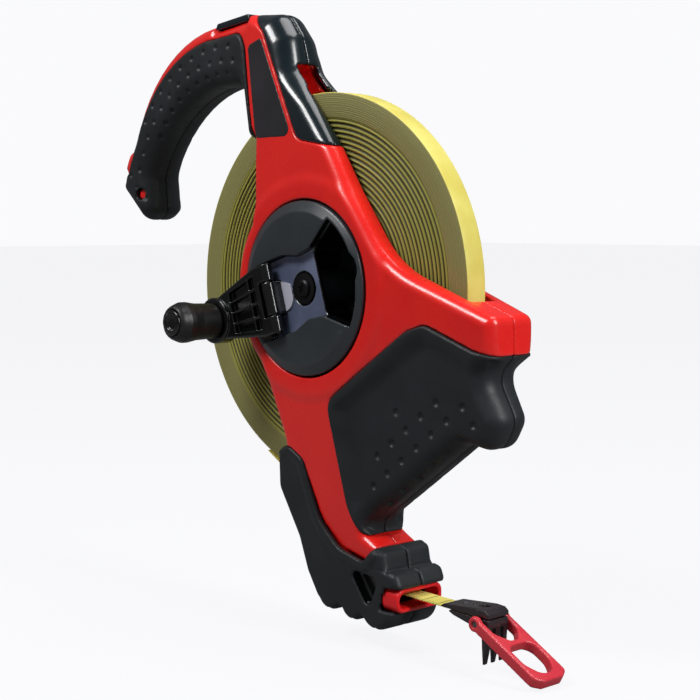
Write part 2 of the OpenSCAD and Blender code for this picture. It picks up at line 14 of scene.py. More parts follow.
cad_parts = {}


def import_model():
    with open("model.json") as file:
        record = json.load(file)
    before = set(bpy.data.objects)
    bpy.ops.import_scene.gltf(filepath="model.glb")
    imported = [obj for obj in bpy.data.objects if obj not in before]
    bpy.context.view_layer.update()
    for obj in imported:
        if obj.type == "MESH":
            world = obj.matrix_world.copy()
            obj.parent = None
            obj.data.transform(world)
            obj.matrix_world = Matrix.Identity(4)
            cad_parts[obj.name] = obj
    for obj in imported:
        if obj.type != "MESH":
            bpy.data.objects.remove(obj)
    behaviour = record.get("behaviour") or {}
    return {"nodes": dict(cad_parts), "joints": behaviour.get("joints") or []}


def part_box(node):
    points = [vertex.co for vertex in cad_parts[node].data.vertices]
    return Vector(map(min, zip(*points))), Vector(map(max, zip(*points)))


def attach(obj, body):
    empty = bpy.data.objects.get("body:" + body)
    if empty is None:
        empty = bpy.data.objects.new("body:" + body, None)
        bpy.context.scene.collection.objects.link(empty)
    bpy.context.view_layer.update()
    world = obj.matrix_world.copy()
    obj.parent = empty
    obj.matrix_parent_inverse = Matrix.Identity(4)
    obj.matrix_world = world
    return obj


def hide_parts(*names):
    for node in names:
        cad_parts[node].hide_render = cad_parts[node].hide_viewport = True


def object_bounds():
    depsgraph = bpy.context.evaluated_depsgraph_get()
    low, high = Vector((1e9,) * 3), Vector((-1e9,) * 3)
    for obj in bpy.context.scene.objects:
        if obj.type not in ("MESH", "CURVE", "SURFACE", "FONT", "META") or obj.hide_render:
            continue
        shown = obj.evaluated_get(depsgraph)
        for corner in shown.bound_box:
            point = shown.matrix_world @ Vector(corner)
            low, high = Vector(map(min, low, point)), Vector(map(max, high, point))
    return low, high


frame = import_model()
cad_low, cad_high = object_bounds()

MM = 0.001
MID_Y = (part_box("front_frame")[0].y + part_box("rear_frame")[1].y) / 2 / MM   # the middle plane
STEP = 0.6          # sample spacing of the large mouldings
FINE = 0.3          # and of the small ones
BAND = 4                                   # samples kept on each side of a surface


def lin(red, green, blue):
    """A colour given as 0-255 display values, in Blender's linear terms."""
    def one(v):
        v = v / 255
        return v / 12.92 if v <= 0.04045 else ((v + 0.055) / 1.055) ** 2.4
    return (one(red), one(green), one(blue), 1.0)


def smoothstep(low, high, v):
    t = np.clip((v - low) / (high - low), 0, 1)
    return t * t * (3 - 2 * t)


# ------------------------------------------------------------------ level sets

def node_mesh(node):
    """A CAD node's points in millimetres and its triangles."""
    mesh = frame["nodes"][node].data
    points = np.empty(len(mesh.vertices) * 3, np.float32)
    mesh.vertices.foreach_get("co", points)
    mesh.calc_loop_triangles()
    triangles = np.empty(len(mesh.loop_triangles) * 3, np.int32)
    mesh.loop_triangles.foreach_get("vertices", triangles)
    points = points.reshape(-1, 3) / MM
    points[:, 1] -= MID_Y
    return points, triangles.reshape(-1, 3).astype(np.uint32)


def box(node):
    """A CAD node's corners in millimetres about the middle plane."""
    low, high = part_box(node)
    shift = np.array([0, MID_Y, 0])
    return np.array(low) / MM - shift, np.array(high) / MM - shift


def grid_of(node, step):
    points, triangles = node_mesh(node)
    return openvdb.FloatGrid.createLevelSetFromPolygons(
        points, triangles=triangles, transform=openvdb.createLinearTransform(voxelSize=step),
        halfWidth=BAND)


class Block:
    """A box of samples: its axes, and how to fetch a level set's values in it."""

    def __init__(self, low, high, step):
        self.step = step
        self.first = np.floor(np.array(low) / step).astype(int) - BAND - 1
        last = np.ceil(np.array(high) / step).astype(int) + BAND + 1
        self.shape = tuple(last - self.first + 1)
        self.x, self.y, self.z = [
            ((self.first[i] + np.arange(self.shape[i])) * step).astype(np.float32)
            for i in range(3)]

    def values(self, grid):
        out = np.empty(self.shape, np.float32)
        grid.copyToArray(out, ijk=tuple(int(v) for v in self.first))
        return out

    def grid(self, values):
        out = openvdb.FloatGrid(BAND * self.step)
        out.copyFromArray(np.ascontiguousarray(values, np.float32),
                          ijk=tuple(int(v) for v in self.first))
        out.transform = openvdb.createLinearTransform(voxelSize=self.step)
        return out

    def near(self, centre, reach):
        """Slices of the samples within reach of a point."""
        out = []
        for axis, c in zip((self.x, self.y, self.z), centre):
            a, b = np.searchsorted(axis, (c - reach, c + reach))
            out.append(slice(int(a), int(b)))
        return tuple(out)

    def part(self, window):
        """Axes of a window, shaped so that they broadcast."""
        return (self.x[window[0]][:, None, None], self.y[window[1]][None, :, None],
                self.z[window[2]][None, None, :])


def level_set(points, quads, step, width=BAND):
    return openvdb.FloatGrid.createLevelSetFromPolygons(
        points, quads=quads, transform=openvdb.createLinearTransform(voxelSize=step),
        halfWidth=width)


def rounded(block, values, radius, carve=None):
    """The solid with its outward edges rounded and details carved in, as points and quads."""
    step = block.step
    points, quads = block.grid(values).convertToQuads(-radius)
    grid = level_set(points, quads, step, radius / step + BAND)
    points, quads = grid.convertToQuads(radius)
    if carve is None:
        return points, quads
    values = block.values(level_set(points, quads, step))
    carve(values)
    return block.grid(values).convertToQuads(0)


def outward(points, quads):
    """The quads, turned if need be so that their normals point out of the solid."""
    a, b, c, d = (np.asarray(points, float)[quads[:, n]] for n in range(4))
    volume = np.einsum("ij,ij->", a, np.cross(b, c) + np.cross(c, d))
    return quads if volume > 0 else quads[:, ::-1]


def make_mesh(name, points, faces):
    mesh = bpy.data.meshes.new(name)
    faces = outward(points, faces)
    count, corners = faces.shape
    points = (np.asarray(points, np.float32) + np.array([0, MID_Y, 0], np.float32)) * MM
    mesh.vertices.add(len(points))
    mesh.vertices.foreach_set("co", points.ravel())
    mesh.loops.add(count * corners)
    mesh.loops.foreach_set("vertex_index", faces.astype(np.int32).ravel())
    mesh.polygons.add(count)
    mesh.polygons.foreach_set("loop_start", np.arange(0, count * corners, corners, dtype=np.int32))
    mesh.update(calc_edges=True)
    mesh.shade_smooth()
    return mesh


def piece(name, points, faces, body, material, replaces):
    mesh = make_mesh(name, points, faces)
    mesh.materials.append(material)
    obj = bpy.data.objects.new(name, mesh)
    bpy.context.scene.collection.objects.link(obj)
    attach(obj, body)
    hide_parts(*replaces)
    return obj


def face_vectors(obj, field):
    """A vector of each face of a piece, such as its centre."""
    out = np.empty(len(obj.data.polygons) * 3, np.float32)
    obj.data.polygons.foreach_get(field, out)
    return out.reshape(-1, 3)


def thin_out(obj, keep):
    """Fewer faces where the surface is plain."""
    decimate = obj.modifiers.new("thin_out", "DECIMATE")
    decimate.ratio = keep
    return obj


# ------------------------------------------------------------------ plan of the frame

SHELLS = ["frame", "top_cover", "handle_grip", "palm_grip", "bumper"]
CORE_PLANE = -11          # every shell's outline shows in this plane
SKIN_PLANE = -13          # only the bare red skin of the frame shows in this one


class Plan:
    """Maps over x and z: distances to outlines, the skin's half thickness and its edge radius."""

    def __init__(self, step):
        self.step = step
        low, high = cad_low / MM, cad_high / MM
        self.i0 = int(math.floor(low.x / step)) - 12
        self.k0 = int(math.floor(low.z / step)) - 12
        self.shape = (int((high.x - low.x) / step) + 24, int((high.z - low.z) / step) + 24)
        self.x = ((self.i0 + np.arange(self.shape[0])) * step)[:, None]
        self.z = ((self.k0 + np.arange(self.shape[1])) * step)[None, :]
        self.r = np.hypot(self.x, self.z)

    def cut(self, grid, y):
        out = np.empty((self.shape[0], 1, self.shape[1]), np.float32)
        grid.copyToArray(out, ijk=(self.i0, int(round(y / self.step)), self.k0))
        return out[:, 0, :]

    def distance(self, rough, reach):
        """True signed distance, up to reach, from a map that is only right near its outline."""
        margin = 0.3
        fine = 4
        rows = np.linspace(0, rough.shape[0] - 1, (rough.shape[0] - 1) * fine + 1)
        cols = np.linspace(0, rough.shape[1] - 1, (rough.shape[1] - 1) * fine + 1)
        r0 = np.minimum(rows.astype(int), rough.shape[0] - 2)
        c0 = np.minimum(cols.astype(int), rough.shape[1] - 2)
        fr, fc = (rows - r0)[:, None], (cols - c0)[None, :]
        big = ((rough[r0][:, c0] * (1 - fc) + rough[r0][:, c0 + 1] * fc) * (1 - fr)
               + (rough[r0 + 1][:, c0] * (1 - fc) + rough[r0 + 1][:, c0 + 1] * fc) * fr) - margin
        pts = []
        for axis in (0, 1):
            a = big[:-1] if axis == 0 else big[:, :-1]
            b = big[1:] if axis == 0 else big[:, 1:]
            i, k = np.nonzero((a < 0) != (b < 0))
            t = a[i, k] / (a[i, k] - b[i, k])
            pts.append(np.stack([i + (t if axis == 0 else 0), k + (t if axis == 1 else 0)], 1))
        pts = np.concatenate(pts) / fine * self.step
        tree = kdtree.KDTree(len(pts))
        for n, (u, v) in enumerate(pts):
            tree.insert((u, v, 0), n)
        tree.balance()
        out = np.where(rough < margin, -reach, reach).astype(np.float32)
        for i, k in zip(*np.nonzero(rough < 2)):
            d = tree.find((i * self.step, k * self.step, 0))[2]
            out[i, k] = min(d, reach) if rough[i, k] >= margin else -min(d, reach)
        return out + margin


def blur(values, step, size):
    """Three passes of a moving average, which is close to a Gaussian of that size."""
    width = max(1, int(round(size / step))) * 2 + 1
    for _ in range(3):
        for axis in (0, 1):
            padded = np.concatenate([
                np.repeat(values.take([0], axis), width // 2 + 1, axis), values,
                np.repeat(values.take([-1], axis), width // 2, axis)], axis)
            total = np.cumsum(padded, axis, dtype=np.float64)
            n = values.shape[axis]
            values = (total.take(range(width, width + n), axis)
                      - total.take(range(0, n), axis)) / width
    return values


HUB_T = -box("front_frame")[0][1]          # half thickness at the hub ring
RING_R = 58.5             # outer radius of the hub ring
HUB_FILL_R = RING_R - 8   # the hub's hole counts as solid within this radius
TAPER = 0.065             # loss of half thickness per millimetre outside the ring
REACH = 24                # distances to an outline are kept up to this

plan = Plan(STEP)
grids = {n: grid_of("front_" + n, STEP) for n in SHELLS}
solid = np.minimum.reduce([plan.cut(grids[n], CORE_PLANE) for n in SHELLS])
solid = np.minimum(solid, plan.r - HUB_FILL_R)                       # the hub's hole is filled
lip_low, lip_high = box("mouth_lip")
mouth_x = np.abs(plan.x - (lip_low[0] + lip_high[0]) / 2 + 4) - 8
mouth_z = np.abs(plan.z - (lip_low[2] + lip_high[2]) / 2) - 6.5
solid = np.minimum(solid, np.maximum(mouth_x, mouth_z))              # and so is the mouth
plan.edge = plan.distance(solid, REACH)
plan.from_red = plan.distance(
    np.minimum(plan.cut(grids["frame"], SKIN_PLANE), plan.r - HUB_FILL_R), REACH)


def share(name, size=4):
    """How much a place belongs to a shell: 1 inside, 0 outside, soft in between."""
    inside = (plan.cut(grids[name], SKIN_PLANE) < 0.5 * plan.step).astype(np.float64)
    return blur(inside, plan.step, size)


parts_at = {n: share(n) for n in SHELLS}
total_share = sum(parts_at.values()) + 1e-6
top_end = smoothstep(98, 120, plan.z)
edge_radius = {
    "frame": 6.5, "top_cover": 8.0 + 6.0 * top_end, "handle_grip": 12.0, "palm_grip": 10.0,
    "bumper": 3.6}
plan.radius = sum(parts_at[n] * edge_radius[n] for n in SHELLS) / total_share
plan.radius = np.where(total_share < 0.02, 8.0, plan.radius)

plain_t = HUB_T - TAPER * np.maximum(0, plan.r - RING_R)
ring_step = 1.0 * smoothstep(RING_R - 3, RING_R + 5, plan.r)          # the hub ring stands proud
plan.half = {
    "frame": plain_t - ring_step,
    "top_cover": plain_t - ring_step,
    "handle_grip": plain_t + 0.3,
    "palm_grip": plain_t + 0.9 - 4.2 * smoothstep(1.5, 13, plan.from_red),
    "bumper": 20.0 - 1.3 * smoothstep(3.5, 6.5, plan.from_red),
    "label_plate": plain_t - ring_step + 0.25,
}


def over(block, values):
    """A plan map's values over a block's columns, as a thin 3D array."""
    u = block.x / plan.step - plan.i0
    v = block.z / plan.step - plan.k0
    i, k = np.floor(u).astype(int), np.floor(v).astype(int)
    fu, fv = (u - i)[:, None], (v - k)[None, :]
    a = values[i][:, k] * (1 - fv) + values[i][:, k + 1] * fv
    b = values[i + 1][:, k] * (1 - fv) + values[i + 1][:, k + 1] * fv
    return (a * (1 - fu) + b * fu)[:, None, :].astype(np.float32)


def skin_field(block, half, radius):
    """The rounded skin over a block, from the outline, half thickness and edge radius."""
    edge, t, rho = over(block, plan.edge), over(block, half), over(block, radius)
    u = edge + rho
    v = np.abs(block.y)[None, :, None] - t + rho
    return (np.hypot(np.maximum(u, 0), np.maximum(v, 0))
            + np.minimum(np.maximum(u, v), 0) - rho)


def lookup(values, x, z):
    """A plan map's value at one place."""
    return float(values[int(round(x / plan.step)) - plan.i0, int(round(z / plan.step)) - plan.k0])


def surface_y(name, x, z):
    """Depth of the skin's face at one place, and its outward normal."""
    half, rho = lookup(plan.half[name], x, z), lookup(plan.radius, x, z)
    u = lookup(plan.edge, x, z) + rho
    if u <= 0:
        return half, (0.0, 1.0, 0.0)
    u = min(u, rho * 0.98)
    lift = math.sqrt(rho * rho - u * u)
    d = plan.step * 2
    gx = lookup(plan.edge, x + d, z) - lookup(plan.edge, x - d, z)
    gz = lookup(plan.edge, x, z + d) - lookup(plan.edge, x, z - d)
    size = math.hypot(gx, gz) or 1
    return half - rho + lift, (u / rho * gx / size, lift / rho, u / rho * gz / size)


def soft_cut(values, cutter, blend):
    """Takes a solid away with a soft edge of about the size of blend."""
    h = np.clip(0.5 + 0.5 * (values + cutter) / blend, 0, 1)
    return values * h - cutter * (1 - h) + blend * h * (1 - h)


def dimple(block, values, name, x, z, width, depth, side):
    """A shallow round dimple in the skin, square to the surface."""
    y, normal = surface_y(name, x, z)
    ball = (width * width / 4 + depth * depth) / (2 * depth)
    out = ball - depth
    centre = (x + normal[0] * out, side * (y + normal[1] * out), z + normal[2] * out)
    window = block.near(centre, ball + 3)
    px, py, pz = block.part(window)
    away = np.sqrt((px - centre[0]) ** 2 + (py - centre[1]) ** 2 + (pz - centre[2]) ** 2) - ball
    values[window] = soft_cut(values[window], away, 0.5)


def groove(block, values, path, radius, blend=0.6):
    """A groove along a path of 3D points."""
    for a, b in zip(path[:-1], path[1:]):
        a, b = np.array(a, float), np.array(b, float)
        window = block.near((a + b) / 2, np.abs(b - a).max() / 2 + radius + 3)
        px, py, pz = block.part(window)
        along = b - a
        t = ((px - a[0]) * along[0] + (py - a[1]) * along[1] + (pz - a[2]) * along[2])
        t = np.clip(t / (along @ along), 0, 1)
        away = np.sqrt((px - a[0] - t * along[0]) ** 2 + (py - a[1] - t * along[1]) ** 2
                       + (pz - a[2] - t * along[2]) ** 2) - radius
        values[window] = soft_cut(values[window], away, blend)


# ------------------------------------------------------------------ details of the rubber

HANDLE_CENTRE = (-77.0, 39.0)       # centre of the handle's middle line
HANDLE_RADIUS = 93.0


def handle_dimples(block, values, side):
    rows = [(-11.5, 0.5), (-4.0, 0.0), (4.0, 0.5), (10.5, 0.0)]
    pitch = 7.1
    for offset, shift in rows:
        for n in range(13):
            a = math.radians(83 + (n + shift) * pitch)
            r = HANDLE_RADIUS + offset
            x, z = HANDLE_CENTRE[0] + r * math.cos(a), HANDLE_CENTRE[1] + r * math.sin(a)
            if lookup(plan.from_red, x, z) > 3.5 and lookup(plan.edge, x, z) < -2.5:
                dimple(block, values, "handle_grip", x, z, 3.7, 1.15, side)


def palm_dimples(block, values, side):
    for line, first, last in ((-1, 1, 1), (0, 0, 4), (1, 0, 6), (2, 1, 7)):
        for n in range(first, last + 1):
            x = 93.3 + 17.1 * line - 10.4 * n
            z = -54.8 - 0.7 * line - 7.9 * n
            dimple(block, values, "palm_grip", x, z, 4.6, 1.3, side)


def bumper_details(block, values, side):
    """Grooves between the lobes under the nose, and the crease between the upper lobes."""
    face = side * 21.0
    for x, z, radius in [(14.5, -175, 1.7), (33, -177.6, 1.7), (50.5, -179.6, 1.7),
                         (24.3, -175, 2.6), (41.6, -177, 2.6)]:
        groove(block, values, [(x, face, z), (x, 0, z)], radius)
    groove(block, values, [(60, 0, -145.8), (60, face, -145.8)], 1.5)
    groove(block, values, [(60, side * 19.5, -145.8), (51, side * 20.5, -146.2),
                           (44, side * 22, -144)], 1.8)


DETAILS = {"handle_grip": handle_dimples, "palm_grip": palm_dimples, "bumper": bumper_details}


# ------------------------------------------------------------------ materials

class Nodes:
    """A short way to write a material's node tree."""

    def __init__(self, name):
        self.material = bpy.data.materials.new(name)
        self.material.use_nodes = True
        self.tree = self.material.node_tree
        self.tree.nodes.clear()
        self.output = self.add("ShaderNodeOutputMaterial")
        self.shader = self.add("ShaderNodeBsdfPrincipled")
        self.link(self.shader.outputs[0], self.output.inputs[0])
        self.place = self.add("ShaderNodeTexCoord").outputs["Object"]

    def add(self, kind, **settings):
        node = self.tree.nodes.new(kind)
        for key, value in settings.items():
            setattr(node, key, value)
        return node

    def link(self, output, target):
        self.tree.links.new(output, target)

    def put(self, target, value):
        """Sets an input to a value, or links an output to it."""
        if isinstance(value, bpy.types.NodeSocket):
            self.link(value, target)
        else:
            target.default_value = value

    def math(self, operation, a, b=0.0):
        node = self.add("ShaderNodeMath", operation=operation)
        for target, value in zip(node.inputs, (a, b)):
            self.put(target, value)
        return node.outputs[0]

    def noise(self, size, detail=3.0, roughness=0.5):
        """Noise with features of about size metres, from 0 to 1."""
        node = self.add("ShaderNodeTexNoise")
        self.link(self.place, node.inputs["Vector"])
        node.inputs["Scale"].default_value = 1 / size
        node.inputs["Detail"].default_value = detail
        node.inputs["Roughness"].default_value = roughness
        return node.outputs["Fac"]

    def ramp(self, value, low, high, out_low=0.0, out_high=1.0):
        node = self.add("ShaderNodeMapRange", interpolation_type="SMOOTHSTEP")
        for target, v in zip(node.inputs, (value, low, high, out_low, out_high)):
            self.put(target, v)
        return node.outputs[0]

    def mix(self, factor, a, b):
        node = self.add("ShaderNodeMix", data_type="RGBA")
        self.put(node.inputs[0], factor)
        self.put(node.inputs[6], a)
        self.put(node.inputs[7], b)
        return node.outputs[2]

    def bump(self, height, depth):
        node = self.add("ShaderNodeBump")
        node.inputs["Strength"].default_value = 1.0
        node.inputs["Distance"].default_value = depth
        self.link(height, node.inputs["Height"])
        return node.outputs["Normal"]

    def wear_and_glint_edges(self, amount):
        """A mask that is high on outward edges, broken up by noise; the edges it pales are part
        wear, part painted highlight.
        """
        pointed = self.add("ShaderNodeNewGeometry").outputs["Pointiness"]
        mask = self.ramp(pointed, 0.52, 0.60)
        patchy = self.ramp(self.noise(0.006, 4.0), 0.45, 0.7)
        return self.math("MULTIPLY", self.math("MULTIPLY", mask, patchy), amount)


def moulded(name, colour, other, rough, grain, depth, coat=0.0, wear_glint_amount=0.0, wear_glint_colour=None,
            metallic=0.0, sheen=0.0, patch=0.03, specular=0.5):
    """Moulded plastic, rubber or metal: two tones, fine grain, uneven gloss and pale edges that
    are part wear, part painted highlight.
    """
    n = Nodes(name)
    tone = n.ramp(n.noise(patch, 4.0), 0.35, 0.65)
    base = n.mix(tone, colour, other)
    # pale edges: part wear, part painted highlight
    if wear_glint_amount:
        base = n.mix(n.wear_and_glint_edges(wear_glint_amount), base, wear_glint_colour or other)
    n.put(n.shader.inputs["Base Color"], base)
    smudge = n.ramp(n.noise(0.012, 5.0, 0.6), 0.35, 0.7, rough * 0.9, rough * 1.18)
    n.put(n.shader.inputs["Roughness"], smudge)
    n.put(n.shader.inputs["Metallic"], metallic)
    n.put(n.shader.inputs["Coat Weight"], coat)
    n.put(n.shader.inputs["Coat Roughness"], 0.08)
    n.put(n.shader.inputs["Sheen Weight"], sheen)
    n.put(n.shader.inputs["Specular IOR Level"], specular)
    n.put(n.shader.inputs["Normal"], n.bump(n.noise(grain, 2.0), depth))
    return n.material


TURN_PITCH = 1.1          # the fine rings on the coil's side
BAND_PITCH = 0.6          # size of the changes of tone from ring to ring
HALF_TAPE = 6.5           # half of the tape's width


def tape_edges():
    """The edges of the wound turns: fine rings, bands of tone and painted shade in the valleys."""
    n = Nodes("tape_edges")
    split = n.add("ShaderNodeSeparateXYZ")
    n.link(n.place, split.inputs[0])
    x, y, z = split.outputs
    r = n.math("SQRT", n.math("ADD", n.math("MULTIPLY", x, x), n.math("MULTIPLY", z, z)))
    turn = n.math("MULTIPLY", r, 2 * math.pi / (TURN_PITCH * MM))
    wave = n.math("SINE", turn)
    fine = n.noise(0.0012, 4.0)
    banding = n.add("ShaderNodeTexNoise", noise_dimensions="1D")
    n.link(n.math("MULTIPLY", r, 1 / (BAND_PITCH * MM)), banding.inputs["W"])
    banding.inputs["Scale"].default_value = 1.0
    band = n.ramp(banding.outputs["Fac"], 0.3, 0.7)
    base = n.mix(band, lin(124, 119, 66), lin(150, 146, 88))
    base = n.mix(n.ramp(fine, 0.35, 0.75), base, lin(138, 134, 78))
    inner = n.ramp(r, 93.5 * MM, 91 * MM)
    base = n.mix(inner, base, n.mix(band, lin(156, 152, 58), lin(172, 168, 76)))
    # painted shade: the surface is darkened to a near-black olive where it dips between the
    # ridges, closer than 5.5 mm to the middle plane
    from_middle = n.math("ABSOLUTE", n.math("SUBTRACT", y, MID_Y * MM))
    valley_shade = n.ramp(from_middle, 6.15 * MM, 5.5 * MM)
    base = n.mix(n.math("MULTIPLY", valley_shade, 0.95), base, lin(40, 36, 6))
    n.put(n.shader.inputs["Base Color"], base)
    n.put(n.shader.inputs["Roughness"], n.ramp(fine, 0.3, 0.7, 0.55, 0.75))
    height = n.math("ADD", n.math("MULTIPLY", wave, 0.3), fine)
    n.put(n.shader.inputs["Normal"], n.bump(height, 0.00018))
    return n.material


def tape_face(name, direction=None):
    """The yellow face of the tape, with plain graduation marks along a direction, if given."""
    n = Nodes(name)
    weave = n.noise(0.0007, 2.0)
    stain = n.noise(0.02, 4.0)
    base = n.mix(n.ramp(stain, 0.3, 0.7), lin(216, 202, 94), lin(228, 218, 116))
    if direction:
        along = n.add("ShaderNodeVectorMath", operation="DOT_PRODUCT")
        n.link(n.place, along.inputs[0])
        along.inputs[1].default_value = direction
        split = n.add("ShaderNodeSeparateXYZ")
        n.link(n.place, split.inputs[0])
        y = n.math("SUBTRACT", split.outputs[1], MID_Y * MM)

        def ticks(pitch, width, reach):
            phase = n.math("MODULO", n.math("ADD", along.outputs["Value"], 1.0), pitch * MM)
            on = n.math("LESS_THAN", phase, width * MM)
            return n.math("MULTIPLY", on, n.math("LESS_THAN", y, (reach - HALF_TAPE) * MM))
        ink = n.math("MAXIMUM", ticks(2, 0.35, 2.4), ticks(10, 0.6, 2 * HALF_TAPE))
        base = n.mix(ink, base, lin(30, 28, 26))
    n.put(n.shader.inputs["Base Color"], base)
    n.put(n.shader.inputs["Roughness"], n.ramp(stain, 0.3, 0.7, 0.38, 0.52))
    n.put(n.shader.inputs["Normal"], n.bump(weave, 0.00004))
    return n.material


MATERIALS = {
    "frame_red": moulded("frame_red", lin(236, 33, 25), lin(230, 29, 25), 0.28, 0.0009, 0.000006,
                         coat=0.2),
    "cover_teal": moulded("cover_teal", lin(4, 21, 28), lin(7, 25, 31), 0.24, 0.0009, 0.000006,
                          coat=0.4),
    "rubber_grey": moulded("rubber_grey", lin(23, 28, 31), lin(29, 34, 37), 0.5, 0.0006, 0.00003,
                           sheen=0.02, specular=0.4),
    "label_grey": moulded("label_grey", lin(36, 34, 38), lin(42, 39, 44), 0.36, 0.0005, 0.00001),
    "lip_red": moulded("lip_red", lin(214, 14, 22), lin(226, 22, 28), 0.34, 0.0008, 0.00001,
                       wear_glint_amount=0.2, wear_glint_colour=lin(240, 120, 110)),
    "felt_green": moulded("felt_green", lin(20, 96, 74), lin(30, 112, 88), 0.9, 0.0005, 0.0003,
                          sheen=0.4),
    "steel": moulded("steel", lin(188, 190, 198), lin(172, 175, 184), 0.26, 0.0004, 0.000006,
                     metallic=1.0),
    "screw_black": moulded("screw_black", lin(34, 34, 36), lin(44, 44, 46), 0.38, 0.0005, 0.00001,
                           metallic=0.8),
    "bronze": moulded("bronze", lin(168, 120, 60), lin(150, 104, 52), 0.35, 0.0005, 0.00001,
                      metallic=1.0),
    "hub_grey": moulded("hub_grey", lin(42, 48, 52), lin(46, 52, 56), 0.36, 0.0007, 0.00001,
                        coat=0.15, wear_glint_amount=0.3, wear_glint_colour=lin(96, 100, 98)),
    # painted highlight: the crank's pale edges stand in for the glints along its ribs
    "crank_black": moulded("crank_black", lin(8, 9, 10), lin(12, 13, 14), 0.2, 0.0007, 0.000012,
                           coat=0.3, wear_glint_amount=0.5, wear_glint_colour=lin(92, 96, 98)),
    "knob_black": moulded("knob_black", lin(14, 15, 15), lin(19, 20, 19), 0.42, 0.0006, 0.00002,
                          wear_glint_amount=0.4, wear_glint_colour=lin(70, 72, 70)),
    # painted reflection: a pale bluish-grey that stands in for the studio mirrored in the black
    # glossy floor of the crank's recess
    "recess_painted_reflection": moulded("recess_painted_reflection", lin(84, 92, 116), lin(112, 120, 146), 0.18, 0.003,
                            0.00002, coat=0.6),
    # painted reflection: the steel detent leaf gets a near-white diffuse colour in place of the
    # bright glint it shows
    "leaf_painted_glint": moulded("leaf_painted_glint", lin(205, 205, 220), lin(186, 186, 204), 0.4, 0.0004,
                           0.000006, metallic=0.25),
    "hook_black": moulded("hook_black", lin(30, 24, 28), lin(38, 30, 34), 0.32, 0.0006, 0.00001,
                          coat=0.2, wear_glint_amount=0.4, wear_glint_colour=lin(110, 106, 104)),
    "ring_red": moulded("ring_red", lin(198, 42, 58), lin(208, 54, 64), 0.34, 0.0008, 0.00001,
                        coat=0.2, wear_glint_amount=0.25, wear_glint_colour=lin(244, 140, 130)),
}
TAPE_EDGES = tape_edges()
TAPE_FACE = tape_face("tape_face")

slide = next(j for j in frame["joints"] if j["name"] == "tape_pull")
TAPE_PRINT = tape_face("tape_print", tuple(slide["axis"]))


# ------------------------------------------------------------------ the frame's mouldings

WALL = 3.4                # thickness of the grips and covers over the frame's core
CORE_GAP = 2.5            # how much deeper than that the core is under a grip
RECESS = (44.5, -156.5, 13.5)        # x, z and reach of the pocket in the side of the bumper
RED_DOT = (-162.0, 53.0, 3.3)        # the frame shows through the rubber here: x, z, radius
DOT_DEPTH = 1.6                      # and stays this far below the skin


def whole_side(side):
    """All the shells of one side as one solid, without the seams between them."""
    nodes = [side + "_" + n for n in SHELLS]
    corners = [box(n) for n in nodes]
    block = Block(np.min([c[0] for c in corners], 0), np.max([c[1] for c in corners], 0), STEP)
    values = np.minimum.reduce([block.values(grid_of(n, STEP)) for n in nodes])
    overlap = 0.3 * STEP
    points, quads = block.grid(values).convertToQuads(overlap)
    return block, block.values(level_set(points, quads, STEP)) + overlap


def disc_distance(block, circle):
    """Distance over x and z from a circle, below 0 inside it."""
    x, z, radius = circle
    away = np.hypot(block.x[:, None, None] - x, block.z[None, None, :] - z)
    return (away - radius).astype(np.float32)


def shell(side, name, slot, seam, whole):
    """One moulding of the frame: its share of the whole side, under the rounded skin."""
    node = side + "_" + name
    block, solid_values = whole
    low, high = box(node)
    part = Block(low, high, STEP)
    window = tuple(slice(max(0, int(part.first[i] - block.first[i])),
                         int(part.first[i] - block.first[i]) + part.shape[i]) for i in range(3))
    part.first = block.first + np.array([w.start for w in window])
    values = solid_values[window]
    part.shape = values.shape
    part.x, part.y, part.z = block.x[window[0]], block.y[window[1]], block.z[window[2]]
    skin = skin_field(part, plan.half[name], plan.radius)
    front = -1 if side == "front" else 1
    area = over(part, plan.cut(grids[name], SKIN_PLANE))
    hollow = disc_distance(part, RECESS)
    if name == "frame":
        core = np.maximum(skin + WALL + CORE_GAP, -hollow)
        values = np.maximum(values, np.minimum(np.maximum(skin, area), core))
        values = np.minimum(values, np.maximum(disc_distance(part, RED_DOT), skin + DOT_DEPTH))
    elif name == "bumper":
        values = np.maximum(np.maximum(values, skin), np.maximum(
            np.minimum(area, hollow), np.minimum(-(skin + WALL), hollow)))
    else:
        values = np.maximum(np.maximum(values, skin), np.maximum(area, -(skin + WALL)))
    carve = None
    if name in DETAILS:
        def carve(carved):
            DETAILS[name](part, carved, front)
    points, quads = rounded(part, values, seam, carve)
    obj = piece(node + "_shell", points, quads, "frame", MATERIALS[slot], [node])
    thin_out(obj, 0.5)
    if name == "bumper":
        paint_pocket_shade(obj, front)


def paint_pocket_shade(obj, front):
    """The inside of the bumper's pocket is painted black as shade."""
    x, y, z = (face_vectors(obj, "center") / MM).T
    depth = lookup(plan.half["bumper"], *RECESS[:2]) - front * (y - MID_Y)
    # painted shade: faces more than 1.2 mm down in the pocket get the black crank material
    inside = (np.hypot(x - RECESS[0], z - RECESS[1]) < RECESS[2]) & (depth > 1.2)
    obj.data.materials.append(MATERIALS["crank_black"])
    obj.data.polygons.foreach_set("material_index", inside.astype(np.int32))


for side in ("front", "rear"):
    whole = whole_side(side)
    shell(side, "frame", "frame_red", 0.5, whole)
    shell(side, "top_cover", "cover_teal", 0.6, whole)
    shell(side, "handle_grip", "rubber_grey", 0.6, whole)
    shell(side, "palm_grip", "rubber_grey", 0.55, whole)
    shell(side, "bumper", "rubber_grey", 0.75, whole)


# ------------------------------------------------------------------ the small mouldings

def small(node, body, slot, radius, step=FINE, keep=0.5, material=None):
    """A small moulding: the CAD solid with rounded edges."""
    block = Block(*box(node), step)
    points, quads = rounded(block, block.values(grid_of(node, step)), radius)
    obj = piece(node + "_moulded", points, quads, body, MATERIALS[material or slot], [node])
    return thin_out(obj, keep)


